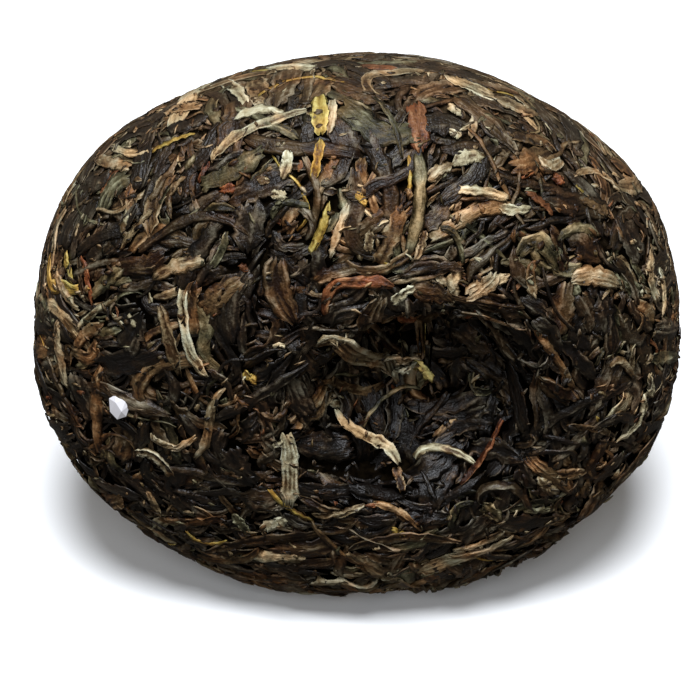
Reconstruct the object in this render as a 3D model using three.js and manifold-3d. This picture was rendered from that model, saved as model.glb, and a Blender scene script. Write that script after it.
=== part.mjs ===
// A pu-erh tuocha: a small cake of tea leaves that was steamed in a cloth bag and pressed into a
// round-backed nest. It lies on its side, on a small flat spot, with its hollow facing -Y and its
// domed back facing +Y. The cake is one solid: a core whose relief is a mosaic of pressed leaves, with
// the largest leaves fused on it.
// Millimetres, +Z up. The origin is on the floor, below the middle of the cake.
import * as THREE from "three";
import { ConvexHull } from "three/addons/math/ConvexHull.js";
import { mergeVertices } from "three/addons/utils/BufferGeometryUtils.js";
import Module from "manifold-3d";

// ---- Driving dimensions -------------------------------------------------------------------------
const CAKE = {
  diameter: 82,
  height: 41, // from the face with the hollow to the top of the dome, along Y
  widestFromFace: 19.5, // where the cake is widest, measured from the face
  domeFullness: 2.15, // superellipse exponents: 2 is an ellipse, more is boxier
  lipFullness: 2.6,
};
const NEST = {
  radius: 16.5, // of the hollow's mouth
  depth: 13,
  fullness: 2.4, // 2 is a paraboloid, more has steeper walls and a flatter bottom
  offsetX: 9, // the knot of the bag was off centre, so the hollow is too
  offsetZ: 3.5,
  rimRounding: 4,
};
const REST_FLAT = 1.2; // how much the flat spot it rests on cuts off the round side
const UNEVEN = 0.45; // how far the pressed form swells and dips

// The leaves: those that are fused on, and those that are only relief on the core. A keel reaches down
// into the core, so that nothing hollow is left below a leaf.
const BIG_LEAF = { count: 88, length: [9, 15], width: [2.2, 3.6], segment: 3.4, tries: 8000 };
const SMALL_LEAF = { count: 150, length: [5, 9], width: [2.0, 3.0], segment: 2.8, tries: 12000 };
const STRAND = { crown: 0.6, droop: 0.2, edge: 0.22, keel: 3.2, endWidth: 0.35 };
const RELIEF = { ridge: -0.3, edge: -1, crevice: -1.9, edgeSpacing: 1.2, spacing: 2.9, tries: 6000 };
const LOOSENESS = 1.4; // the hollow's leaves stand this much further in and out than the pressed ones
const LARGEST_BEND = 0.16; // how sharply a leaf curves in its plane, in radians for each mm

const LEAF_BROWN = new THREE.Color(0.085, 0.062, 0.044);

// ---- The pressed form ---------------------------------------------------------------------------
const radius = CAKE.diameter / 2;
const axisHeight = radius - REST_FLAT;
const faceY = -CAKE.height / 2;
const middle = new THREE.Vector3(0, faceY + CAKE.widestFromFace, axisHeight);
const nestMouth = new THREE.Vector3(NEST.offsetX, faceY, axisHeight + NEST.offsetZ);

function seeded(seed) {
  let state = seed;
  return () => {
    state = (state + 0x6d2b79f5) | 0;
    let t = Math.imul(state ^ (state >>> 15), 1 | state);
    t = (t + Math.imul(t ^ (t >>> 7), 61 | t)) ^ t;
    return ((t ^ (t >>> 14)) >>> 0) / 4294967296;
  };
}
const random = seeded(20);
const between = ([low, high]) => low + (high - low) * random();
const anyVector = () => new THREE.Vector3(random() - 0.5, random() - 0.5, random() - 0.5);

// Roughly how far a point is outside the round body, in mm; negative inside.
function bodyField(p) {
  const along = p.y - middle.y;
  const fullness = along > 0 ? CAKE.domeFullness : CAKE.lipFullness;
  const reach = along > 0 ? CAKE.height - CAKE.widestFromFace : CAKE.widestFromFace;
  const across = Math.hypot(p.x - middle.x, p.z - middle.z);
  const gauge = ((across / radius) ** fullness + (Math.abs(along) / reach) ** fullness) ** (1 / fullness);
  return Math.hypot(across, along) * (1 - 1 / Math.max(gauge, 1e-6));
}

// Roughly how far a point is outside the bowl that the hollow cuts out.
function nestField(p) {
  const across = Math.hypot(p.x - nestMouth.x, p.z - nestMouth.z) / NEST.radius;
  const slope = (NEST.fullness * NEST.depth * across ** (NEST.fullness - 1)) / NEST.radius;
  return (p.y - nestMouth.y - NEST.depth * (1 - across ** NEST.fullness)) / Math.hypot(1, slope);
}

// Slow waves, about 30 to 40 mm long.
const swell = ({ x, y, z }) =>
  UNEVEN * (Math.sin(x * 0.17 + 1.1) * Math.cos(z * 0.14) + 0.7 * Math.sin(y * 0.23 + x * 0.09 + 0.4));
const uncutField = (p) => bodyField(p) + swell(p);

// A smooth maximum, so that the rim of the hollow is rounded.
function formField(p) {
  const outside = bodyField(p);
  const hollow = -nestField(p);
  const mix = Math.max(NEST.rimRounding - Math.abs(outside - hollow), 0) / NEST.rimRounding;
  return Math.max(outside, hollow) + (mix * mix * NEST.rimRounding) / 4 + swell(p);
}

function fieldSlope(p) {
  const reach = 0.4;
  const slope = (axis) => {
    const ahead = p.clone();
    const behind = p.clone();
    ahead[axis] += reach;
    behind[axis] -= reach;
    return (formField(ahead) - formField(behind)) / (2 * reach);
  };
  return new THREE.Vector3(slope("x"), slope("y"), slope("z"));
}
const surfaceNormal = (p) => fieldSlope(p).normalize();

// The point of the surface below or above a point near it, by Newton's steps along the field's slope.
function onSurface(p) {
  const point = p.clone();
  for (let i = 0; i < 5; i++) {
    const slope = fieldSlope(point);
    point.addScaledVector(slope, -formField(point) / slope.lengthSq());
  }
  return point;
}

const inNest = (p) => Math.hypot(p.x - nestMouth.x, p.z - nestMouth.z) < NEST.radius && p.y < middle.y;

// A random point of the surface, about as likely on each square millimetre of it.
function randomSurfacePoint() {
  const skin = 1;
  let p;
  do {
    p = anyVector().multiplyScalar(CAKE.diameter + 2 * skin);
    p.z += axisHeight;
  } while (Math.abs(formField(p)) > skin);
  return onSurface(p);
}

// ---- Leaves that lie on the form ----------------------------------------------------------------
// A leaf's path over the surface, from its middle out to both ends, with a steady bend.
function leafPath(start, length, segment) {
  const heading = anyVector().cross(surfaceNormal(start)).normalize();
  const bend = (random() - 0.5) * LARGEST_BEND;
  const steps = Math.max(Math.round(length / segment / 2), 1);
  const step = length / steps / 2;
  const walk = (sign) => {
    const points = [];
    const ahead = heading.clone().multiplyScalar(sign);
    let here = start;
    for (let i = 0; i < steps; i++) {
      const up = surfaceNormal(here);
      ahead.projectOnPlane(up).normalize().applyAxisAngle(up, bend * step * sign);
      here = onSurface(here.clone().addScaledVector(ahead, step));
      points.push(here);
    }
    return points;
  };
  return [...walk(-1).reverse(), start, ...walk(1)];
}

// Keeps a leaf only where its path is clear of the ones before it, so the leaves spread evenly.
function scatterLeaves({ count, length, width, segment, tries }, taken) {
  const leaves = [];
  for (let i = 0; i < tries && leaves.length < count; i++) {
    const share = 1 - leaves.length / count; // the largest come first
    const long = length[0] + (length[1] - length[0]) * (0.3 * random() + 0.7 * share);
    const wide = between(width);
    const path = leafPath(randomSurfacePoint(), long, segment);
    const clear = path.every((p) => taken.every((q) => p.distanceTo(q.point) > (wide + q.width) * 0.5));
    if (!clear) continue;
    leaves.push({ path, width: wide });
    for (const point of path) taken.push({ point, width: wide });
  }
  return leaves;
}

const sideways = (path, i) => {
  const ahead = path[Math.min(i + 1, path.length - 1)].clone().sub(path[Math.max(i - 1, 0)]);
  return ahead.cross(surfaceNormal(path[i])).normalize();
};

// A large leaf as a closed strand: an arched section swept along its path, thin at both ends.
function strandGeometry({ path, width }) {
  const rings = path.map((p, i) => {
    const t = i / (path.length - 1);
    const taper = STRAND.endWidth + (1 - STRAND.endWidth) * Math.sin(Math.PI * t) ** 0.6;
    const up = surfaceNormal(p);
    const side = sideways(path, i);
    const loose = inNest(p) ? LOOSENESS : 1;
    const at = (across, rise) =>
      p.clone().addScaledVector(side, across * width * taper).addScaledVector(up, rise);
    const crown = STRAND.crown * loose * taper - STRAND.droop * random();
    return [at(-0.5, crown * STRAND.edge), at(0, crown), at(0.5, crown * STRAND.edge), at(0, -STRAND.keel)];
  });
  const sides = rings[0].length;
  const index = [];
  for (let i = 0; i + 1 < rings.length; i++)
    for (let k = 0; k < sides; k++) {
      const a = i * sides + k;
      const b = i * sides + ((k + 1) % sides);
      index.push(a, b, a + sides, b, b + sides, a + sides);
    }
  const last = (rings.length - 1) * sides;
  for (let k = 1; k + 1 < sides; k++) index.push(0, k + 1, k, last, last + k, last + k + 1);
  return new THREE.BufferGeometry().setFromPoints(rings.flat()).setIndex(index);
}

// The core's relief, as pairs of a foot on the smooth form and the point that stands over it or sinks
// below it: each small leaf is a ridge between two lower edges, with crevices scattered in between.
// Where the cake rests, its leaves are flush.
function reliefPoints(leaves, bigLeaves) {
  const relief = [];
  const add = (foot, rise, spacing) => {
    if (relief.some((other) => other.foot.distanceTo(foot) <= spacing)) return;
    const loose = inNest(foot) ? LOOSENESS : 1;
    const height = foot.z < REST_FLAT ? 0 : rise * loose;
    relief.push({ foot, point: foot.clone().addScaledVector(surfaceNormal(foot), height) });
  };
  for (const { path } of leaves) for (const p of path) add(p, RELIEF.ridge * random(), 0);
  for (const { path } of bigLeaves) for (const p of path) add(p, RELIEF.edge, 0);
  for (const { path, width } of leaves)
    path.forEach((p, i) => {
      const side = sideways(path, i).multiplyScalar(width / 2);
      for (const edge of [p.clone().add(side), p.clone().sub(side)])
        add(onSurface(edge), RELIEF.edge, RELIEF.edgeSpacing);
    });
  for (let i = 0; i < RELIEF.tries; i++) {
    const share = random();
    add(randomSurfacePoint(), RELIEF.edge + (RELIEF.crevice - RELIEF.edge) * share, RELIEF.spacing);
  }
  return relief;
}

// Where a point would be with the hollow turned inside out, which leaves a form that bulges everywhere.
function turnedOut(p) {
  if (uncutField(p) > -0.01) return p;
  let inside = p.y;
  let outside = faceY - CAKE.widestFromFace;
  for (let i = 0; i < 16; i++) {
    const half = (inside + outside) / 2;
    if (uncutField(p.clone().setY(half)) < 0) inside = half;
    else outside = half;
  }
  return p.clone().setY(2 * inside - p.y);
}

// Joins the relief's points into one closed surface. The form with its hollow turned out meets each ray
// from its heart once, so the hull of the rays' directions says which points are neighbours.
function coreGeometry(relief) {
  const heart = new THREE.Vector3(nestMouth.x / 2, 0, axisHeight);
  const directions = relief.map(({ foot }) => turnedOut(foot).clone().sub(heart).normalize());
  const numberOf = new Map(directions.map((d, i) => [d, i]));
  const hull = new ConvexHull().setFromPoints(directions);
  const index = [];
  for (const face of hull.faces) {
    let edge = face.edge;
    const corners = [];
    do {
      corners.push(numberOf.get(edge.head().point));
      edge = edge.next;
    } while (edge !== face.edge);
    for (let k = 1; k + 1 < corners.length; k++) index.push(corners[0], corners[k], corners[k + 1]);
  }
  return new THREE.BufferGeometry().setFromPoints(relief.map(({ point }) => point)).setIndex(index);
}

// ---- Joining ------------------------------------------------------------------------------------
const wasm = await Module();
wasm.setup();

function toSolid(geometry) {
  const bare = new THREE.BufferGeometry()
    .setAttribute("position", geometry.getAttribute("position"))
    .setIndex(geometry.index);
  const merged = mergeVertices(bare, 1e-4);
  return new wasm.Manifold(
    new wasm.Mesh({
      numProp: 3,
      vertProperties: merged.attributes.position.array,
      triVerts: new Uint32Array(merged.index.array),
    }),
  );
}

function toGeometry(solid) {
  const { vertProperties, triVerts } = solid.getMesh();
  return new THREE.BufferGeometry()
    .setAttribute("position", new THREE.BufferAttribute(new Float32Array(vertProperties), 3))
    .setIndex(new THREE.BufferAttribute(new Uint32Array(triVerts), 1));
}

function cakeGeometry() {
  const taken = [];
  const bigLeaves = scatterLeaves(BIG_LEAF, taken);
  const smallLeaves = scatterLeaves(SMALL_LEAF, taken);
  let cake = toSolid(coreGeometry(reliefPoints(smallLeaves, bigLeaves)));
  for (const leaf of bigLeaves) cake = cake.add(toSolid(strandGeometry(leaf)));
  const floor = new THREE.BoxGeometry(2 * CAKE.diameter, 2 * CAKE.diameter, radius);
  floor.translate(0, 0, -radius / 2);
  // A dip that a leaf seals off is filled, by keeping the outer shell alone.
  const shells = cake.subtract(toSolid(floor)).decompose();
  const outer = shells.reduce((most, shell) => (shell.volume() > most.volume() ? shell : most));
  const geometry = toGeometry(outer);
  geometry.computeBoundingBox();
  const centre = geometry.boundingBox.getCenter(new THREE.Vector3());
  return geometry.translate(-centre.x, -centre.y, 0);
}

const cake = new THREE.Mesh(
  cakeGeometry(),
  new THREE.MeshStandardMaterial({ color: LEAF_BROWN, roughness: 0.75, metalness: 0 }),
);
cake.name = "tuocha";

const tuocha = new THREE.Group();
tuocha.add(cake);
export default tuocha;
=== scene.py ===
"""A pu-erh tuocha: a cake of pressed tea leaves, lying on its side with its hollow towards the viewer.

The leaves are packed from the outside in. The first ones lie flush with the form that the cloth bag gave the
cake, and each later one fills a gap and dips under those that already cover its place. A core of leaf dust
closes what is left open. Lengths are in millimetres until a mesh is made, and the axes are the frame's.
"""
import math
from collections import namedtuple

import bmesh
import bpy
import numpy as np
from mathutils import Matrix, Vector
from mathutils.kdtree import KDTree


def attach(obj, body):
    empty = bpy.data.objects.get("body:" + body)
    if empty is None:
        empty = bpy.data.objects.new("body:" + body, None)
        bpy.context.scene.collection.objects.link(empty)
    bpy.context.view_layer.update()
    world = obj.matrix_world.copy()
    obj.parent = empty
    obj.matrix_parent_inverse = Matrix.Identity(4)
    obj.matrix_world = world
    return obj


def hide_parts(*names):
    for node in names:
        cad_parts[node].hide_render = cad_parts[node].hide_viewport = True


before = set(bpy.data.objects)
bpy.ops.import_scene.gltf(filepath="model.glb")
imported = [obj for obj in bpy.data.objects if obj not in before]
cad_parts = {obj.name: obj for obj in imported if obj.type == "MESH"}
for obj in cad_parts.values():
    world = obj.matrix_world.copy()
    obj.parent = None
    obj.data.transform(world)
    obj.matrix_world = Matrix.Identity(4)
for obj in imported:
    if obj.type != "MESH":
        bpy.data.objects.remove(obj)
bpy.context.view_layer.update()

MM = 0.001  # metres in a millimetre
rng = np.random.default_rng(seed=7)

# ---- The pressed form, as the frame has it ----
RADIUS = 41.0
HEIGHT = 41.0  # from the face with the hollow to the top of the dome, along Y
WIDEST_FROM_FACE = 19.5
DOME_FULLNESS = 2.15  # superellipse exponents
LIP_FULLNESS = 2.6
REST_FLAT = 1.2  # what the flat spot it rests on cuts off its side
UNEVEN = 0.45  # how far slow waves move its surface
NEST_RADIUS = 16.5
NEST_DEPTH = 13.0
NEST_FULLNESS = 2.4
NEST_OFFSET = (9.0, 3.5)  # of the hollow's axis from the cake's, along X and Z
RIM_ROUNDING = 4.0
FRAME_SHIFT = np.array([0.18, -0.29, 0.0])  # the form's place in the frame, whose box is centred
NEVER_ZERO = 1e-9  # keeps divisions from failing

AXIS_HEIGHT = RADIUS - REST_FLAT
FACE_Y = -HEIGHT / 2
MIDDLE = np.array([0.0, FACE_Y + WIDEST_FROM_FACE, AXIS_HEIGHT])
NEST_MOUTH = np.array([NEST_OFFSET[0], FACE_Y, AXIS_HEIGHT + NEST_OFFSET[1]])


def body_field(p):
    """Roughly how far points are outside the round body, in mm; negative inside."""
    along = p[..., 1] - MIDDLE[1]
    fullness = np.where(along > 0, DOME_FULLNESS, LIP_FULLNESS)
    reach = np.where(along > 0, HEIGHT - WIDEST_FROM_FACE, WIDEST_FROM_FACE)
    across = np.hypot(p[..., 0] - MIDDLE[0], p[..., 2] - MIDDLE[2])
    gauge = ((across / RADIUS) ** fullness + (np.abs(along) / reach) ** fullness) ** (1 / fullness)
    return np.hypot(across, along) * (1 - 1 / np.maximum(gauge, NEVER_ZERO))


def from_nest_axis(p):
    """How far points are from the hollow's axis, as a share of its radius."""
    return np.hypot(p[..., 0] - NEST_MOUTH[0], p[..., 2] - NEST_MOUTH[2]) / NEST_RADIUS


def nest_field(p):
    """Roughly how far points are outside the bowl that the hollow cuts out."""
    across = from_nest_axis(p)
    slope = NEST_FULLNESS * NEST_DEPTH * across ** (NEST_FULLNESS - 1) / NEST_RADIUS
    return (p[..., 1] - NEST_MOUTH[1] - NEST_DEPTH * (1 - across**NEST_FULLNESS)) / np.hypot(1, slope)


def swell(p):
    """How far slow waves, some 27 to 45 mm long, move the surface inwards."""
    x, y, z = p[..., 0], p[..., 1], p[..., 2]
    return UNEVEN * (np.sin(x * 0.17 + 1.1) * np.cos(z * 0.14) + 0.7 * np.sin(y * 0.23 + x * 0.09 + 0.4))


def form_field(p):
    """The body without the hollow, by a smooth maximum that rounds the rim."""
    p = p - FRAME_SHIFT
    outside, hollow = body_field(p), -nest_field(p)
    mix = np.maximum(RIM_ROUNDING - np.abs(outside - hollow), 0) / RIM_ROUNDING
    return np.maximum(outside, hollow) + mix * mix * RIM_ROUNDING / 4 + swell(p)


def unit(v):
    return v / np.maximum(np.linalg.norm(v, axis=-1, keepdims=True), NEVER_ZERO)


def field_slope(p, reach=0.4):
    slope = [form_field(p + reach * axis) - form_field(p - reach * axis) for axis in np.eye(3)]
    return np.stack(slope, -1) / (2 * reach)


def normal_at(p):
    return unit(field_slope(p))


def on_surface(p, rounds=3):
    """Moves points onto the form, by Newton's steps along the field's slope."""
    for _ in range(rounds):
        slope = field_slope(p)
        p = p - slope * (form_field(p) / np.sum(slope * slope, -1))[..., None]
    return p


def random_surface_points(count):
    """Random points of the surface, about as likely on each square millimetre of it."""
    margin = 2  # of the box round the form
    close = 1  # how near the form its points are kept
    reach = np.array([RADIUS + margin, HEIGHT / 2 + margin, RADIUS + margin])
    kept = []
    while sum(map(len, kept)) < count:
        p = rng.uniform(-1, 1, (4 * count, 3)) * reach + (0, 0, AXIS_HEIGHT)
        kept.append(p[np.abs(form_field(p)) < close])
    return on_surface(np.concatenate(kept)[:count])


# ---- Where the leaves are loose ----
NEST_LOOSE_TO = 1.35  # how far out the hollow's leaves are loose, as a share of its radius
NEST_FADE = 0.35  # the last part of that, over which they get firmer
LIP_LOOSE_FROM = 4.0  # behind the cake's widest place
LIP_FADE = 16.0
LIP_LOOSENESS = 0.55


def looseness(p):
    """0 where the cloth pressed the leaves flat, about 0.5 on the lip's face, and 1 in the hollow."""
    in_nest = np.clip(NEST_LOOSE_TO - from_nest_axis(p), 0, NEST_FADE) / NEST_FADE * (p[..., 1] < MIDDLE[1])
    on_lip = np.clip((MIDDLE[1] + LIP_LOOSE_FROM - p[..., 1]) / LIP_FADE, 0, 1)
    return np.maximum(in_nest, LIP_LOOSENESS * on_lip)


# ---- The camera: the photo's angle ----
PHOTO_PIXELS = 700
OUTLINE_CENTRE = (355, 325)  # pixels
VIEW_ELEVATION = math.radians(43)
VIEW_DISTANCE = 420.0
FOCAL_PIXELS = 3318
SENSOR = 36.0
NEAR_CLIP = 10.0

AIM = np.array([0.0, 0.0, AXIS_HEIGHT])
TO_EYE = np.array([0.0, -math.cos(VIEW_ELEVATION), math.sin(VIEW_ELEVATION)])
EYE = AIM + TO_EYE * VIEW_DISTANCE
VIEW_RIGHT = np.array([1.0, 0.0, 0.0])
VIEW_UP = np.array([0.0, math.sin(VIEW_ELEVATION), math.cos(VIEW_ELEVATION)])

RAY_START = VIEW_DISTANCE - 1.5 * RADIUS  # in front of the cake
RAY_STEP = 0.5
RAY_STEPS = 200


def new_object(name, data):
    added = bpy.data.objects.new(name, data)
    bpy.context.scene.collection.objects.link(added)
    return added


def make_camera():
    data = bpy.data.cameras.new("camera")
    data.sensor_width = SENSOR
    data.lens = FOCAL_PIXELS * SENSOR / PHOTO_PIXELS
    data.shift_x = (PHOTO_PIXELS / 2 - OUTLINE_CENTRE[0]) / PHOTO_PIXELS
    data.shift_y = (OUTLINE_CENTRE[1] - PHOTO_PIXELS / 2) / PHOTO_PIXELS
    data.clip_start = NEAR_CLIP * MM
    camera = new_object("camera", data)
    camera.location = EYE * MM
    camera.rotation_euler = (math.pi / 2 - VIEW_ELEVATION, 0, 0)
    bpy.context.scene.camera = camera


def under_pixels(pixels, lift=0.0):
    """The points of the surface below what shows at pixels of the photo, a lift above it."""
    pixels = np.asarray(pixels, float)
    across = (pixels[:, :1] - OUTLINE_CENTRE[0]) / FOCAL_PIXELS
    above = (OUTLINE_CENTRE[1] - pixels[:, 1:]) / FOCAL_PIXELS
    rays = -TO_EYE + across * VIEW_RIGHT + above * VIEW_UP
    far = np.full(len(pixels), RAY_START)
    for _ in range(RAY_STEPS):
        outside = form_field(EYE + rays * far[:, None]) > lift
        far = far + RAY_STEP * outside
    return on_surface(EYE + rays * far[:, None])


# ---- The slot at the bottom of the hollow, where leaves are missing ----
SLOT_END_PIXELS = [(308, 472), (408, 468)]  # of the photo
SLOT_DEPTH = 4.5
SLOT_HALF_WIDTH = 1.1
SLOT_STEEPNESS = 4  # an exponent
SLOT_ENDS = under_pixels(SLOT_END_PIXELS)


def slot_depth(p):
    start, run = SLOT_ENDS[0], SLOT_ENDS[1] - SLOT_ENDS[0]
    along = np.clip((p - start) @ run / (run @ run), 0, 1)
    away = np.linalg.norm(p - start - along[..., None] * run, axis=-1)
    return SLOT_DEPTH * np.exp(-((away / SLOT_HALF_WIDTH) ** SLOT_STEEPNESS))


# ---- Kinds of leaf ----
# share: how many of the leaves; paleness: how much more often it lies where the leaves are pressed or pale;
# colours: of a leaf's grooves, painted dark as painted shade, its body, and its ridges, painted pale as wear
# and painted highlight.
KINDS = {
    "black": dict(piece="black_leaf", share=0.22, paleness=-0.4, gloss=0.28,
                  colours=((0.0017, 0.0008, 0.0002), (0.0105, 0.006, 0.0025), (0.112, 0.092, 0.067))),
    "dark": dict(piece="dark_leaf", share=0.26, paleness=0.1, gloss=0.25,
                 colours=((0.0035, 0.0015, 0.0003), (0.023, 0.0125, 0.0048), (0.17, 0.138, 0.1))),
    "brown": dict(piece="brown_leaf", share=0.2, paleness=0.4, gloss=0.2,
                  colours=((0.007, 0.0025, 0.0004), (0.051, 0.029, 0.0122), (0.26, 0.208, 0.15))),
    "umber": dict(piece="umber_leaf", share=0.11, paleness=0.7, gloss=0.2,
                  colours=((0.012, 0.005, 0.0015), (0.098, 0.054, 0.023), (0.33, 0.255, 0.165))),
    "olive": dict(piece="olive_leaf", share=0.09, paleness=0.6, gloss=0.2,
                  colours=((0.006, 0.005, 0.0018), (0.056, 0.047, 0.024), (0.27, 0.245, 0.165))),
    "tan": dict(piece="tan_leaf", share=0.06, paleness=1.0, gloss=0.2,
                colours=((0.025, 0.012, 0.004), (0.165, 0.112, 0.06), (0.45, 0.39, 0.29))),
    "buff": dict(piece="buff_leaf", share=0.03, paleness=1.1, gloss=0.2,
                 colours=((0.055, 0.033, 0.014), (0.29, 0.24, 0.155), (0.57, 0.53, 0.42))),
    "golden": dict(piece="golden_bud", share=0.006, paleness=0.7, gloss=0.2,
                   colours=((0.05, 0.022, 0.003), (0.24, 0.16, 0.034), (0.5, 0.41, 0.16))),
    "rust": dict(piece="rust_leaf", share=0.015, paleness=0.5, gloss=0.2,
                 colours=((0.02, 0.005, 0.001), (0.12, 0.043, 0.017), (0.31, 0.165, 0.085))),
}
KIND_NAMES = list(KINDS)
SHARES = np.array([form["share"] for form in KINDS.values()])
PALENESS = np.array([form["paleness"] for form in KINDS.values()])
PALE_KINDS = {"tan", "buff", "golden"}
PALER_ON_DOME = 2.6  # how strongly the kinds' paleness counts
EVEN_LOOSENESS = 0.45  # where each kind has its plain share
CRUMBS_PALER = 0.7
# Regions of darker or paler leaves, partly their own tone and partly painted: shade in the crescent under the
# hollow's rim and in its lower part, and light on the raised leaves in the hollow: a middle pixel, a reach in
# mm, and how much darker.
SHADE_AND_TONE_PATCHES = [
    ((378, 482), 8, 1.2), ((475, 460), 9, 0.9), ((540, 350), 7, 0.5), ((585, 400), 8, 0.35),
    ((255, 450), 7, 0.4), ((150, 475), 14, 0.6), ((250, 350), 8, 0.5), ((275, 272), 6, 0.6),
    ((560, 190), 13, 0.2), ((170, 190), 13, 0.4), ((362, 225), 6, -0.4), ((403, 230), 6, -0.8),
    ((390, 178), 4, -0.2), ((75, 310), 8, -0.65), ((500, 225), 6, -0.3), ((388, 118), 8, 0.95),
    ((580, 225), 6, 0.3), ((150, 330), 8, 0.7), ((410, 366), 4, -2.0), ((455, 278), 5, -0.4),
    ((650, 280), 5, -0.9), ((490, 350), 7, 0.9), ((300, 322), 5, 0.5), ((350, 528), 6, 0.5),
]
SHADE_AND_TONE_MIDDLES = under_pixels([pixel for pixel, *_ in SHADE_AND_TONE_PATCHES])
PATCH_SHADE_AND_TONE = 1.6  # how much a patch also darkens each leaf, painted shade included


def painted_shade_and_tone(p):
    """How much darker the leaves of a region are painted than those of the whole: partly their own tone,
    partly painted shade, and painted light at the raised leaves in the hollow.
    """
    return sum(depth * np.exp(-np.sum((p - middle) ** 2, -1) / reach**2)
               for middle, (_, reach, depth) in zip(SHADE_AND_TONE_MIDDLES, SHADE_AND_TONE_PATCHES))


def kind_picks(points, paler=0.0):
    """A kind for each point: paler ones more often on the pressed side, darker ones in the hollow."""
    lightness = EVEN_LOOSENESS - looseness(points) - painted_shade_and_tone(points) + paler
    weights = SHARES * np.exp(np.outer(lightness, PALER_ON_DOME * PALENESS))
    weights = np.cumsum(weights / weights.sum(1, keepdims=True), 1)
    picks = (rng.random((len(points), 1)) > weights).sum(1).clip(0, len(KIND_NAMES) - 1)
    return [KIND_NAMES[pick] for pick in picks]


# ---- Shapes of leaf ----
# length, width, thick and fold, the depth of a leaf's folds, are in mm; turn: the spread of how fast it
# turns, in radians for each mm; ends: their width, as a share of its own; stations and across: how many
# places it has along it and across it.
SHAPES = {
    "strand": dict(length=(5, 14), width=(0.9, 2.1), thick=(0.45, 0.85), fold=(0.16, 0.34), turn=0.15,
                   ends=(0.25, 0.8), stations=15, across=5),
    "flake": dict(length=(5, 10), width=(2.2, 3.8), thick=(0.3, 0.5), fold=(0.14, 0.28), turn=0.08,
                  ends=(0.35, 0.9), stations=13, across=9),
    "stem": dict(length=(4, 12), width=(0.4, 0.8), thick=(0.4, 0.65), fold=(0.03, 0.1), turn=0.2,
                 ends=(0.3, 0.9), stations=13, across=3),
    "scrap": dict(length=(2.0, 4.5), width=(0.6, 1.5), thick=(0.3, 0.5), fold=(0.08, 0.2), turn=0.2,
                  ends=(0.3, 0.9), stations=7, across=5),
    "crumb": dict(length=(0.5, 1.6), width=(0.25, 0.8), thick=(0.12, 0.28), fold=(0.02, 0.08), turn=0.3,
                  ends=(0.3, 0.9), stations=3, across=3),
}
# A leaf's thickness and folds as a share of its shape's where it is pressed, and what looseness adds.
FLAT_SHARE = 0.32
LOOSE_SHARE = 0.8
# Its width and thickness by its size: a fixed share, and what size adds.
WIDTH_BY_SIZE = (0.3, 0.7)
THICKNESS_BY_SIZE = (0.5, 0.5)
# Across a leaf, this much of its thickness goes out to its edges, and the rest is rounded off.
EDGE_SHARE = 0.25
ROUNDED_OFF = 0.95


def plumpness(loose):
    return FLAT_SHARE + LOOSE_SHARE * loose


def thickness_profile(across):
    """A leaf's thickness from edge to edge, as a share of that at its middle."""
    return EDGE_SHARE + (1 - EDGE_SHARE) * np.sqrt(1 - ROUNDED_OFF * across**2)


# A leaf that is laid: its places on the form, their heights over it, and its kind and measures.
Leaf = namedtuple("Leaf", "foot height kind thick length width paler", defaults=(0.0,))


class Group:
    """The leaves of one shape."""

    def __init__(self, shape):
        self.shape = shape
        self.across = np.linspace(-1, 1, shape["across"])
        self.leaves = []


# ---- Packing ----
SAMPLE_COUNT = 120000
SAMPLE_REACH = 0.40  # round each vertex along a leaf's inside
EDGE_REACH = 0.25  # and round each one on its edges
OPEN_CEILING = 9.0  # above all that is laid
DOME_LAYER = 0.34  # how deep the leaves that show lie on the pressed dome
NEST_LAYER = 2.5  # and in the hollow
PRESSED_INTO = 0.3  # how much of its own thickness each of two crossing leaves gives way
SMOOTHINGS = 2  # of a leaf where it dips under others


def deepest(p):
    """The lowest height over the form that a leaf may have."""
    return -DOME_LAYER - (NEST_LAYER - DOME_LAYER) * looseness(p) - slot_depth(p)


def smooth(h):
    """Averages a leaf's heights with their neighbours along and across it."""
    for axis in (0, 1):
        pad = np.pad(h, [(1, 1) if a == axis else (0, 0) for a in (0, 1)], mode="edge")
        n = h.shape[axis]
        h = sum(np.take(pad, range(k, k + n), axis) for k in range(3)) / 3
    return h


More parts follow.
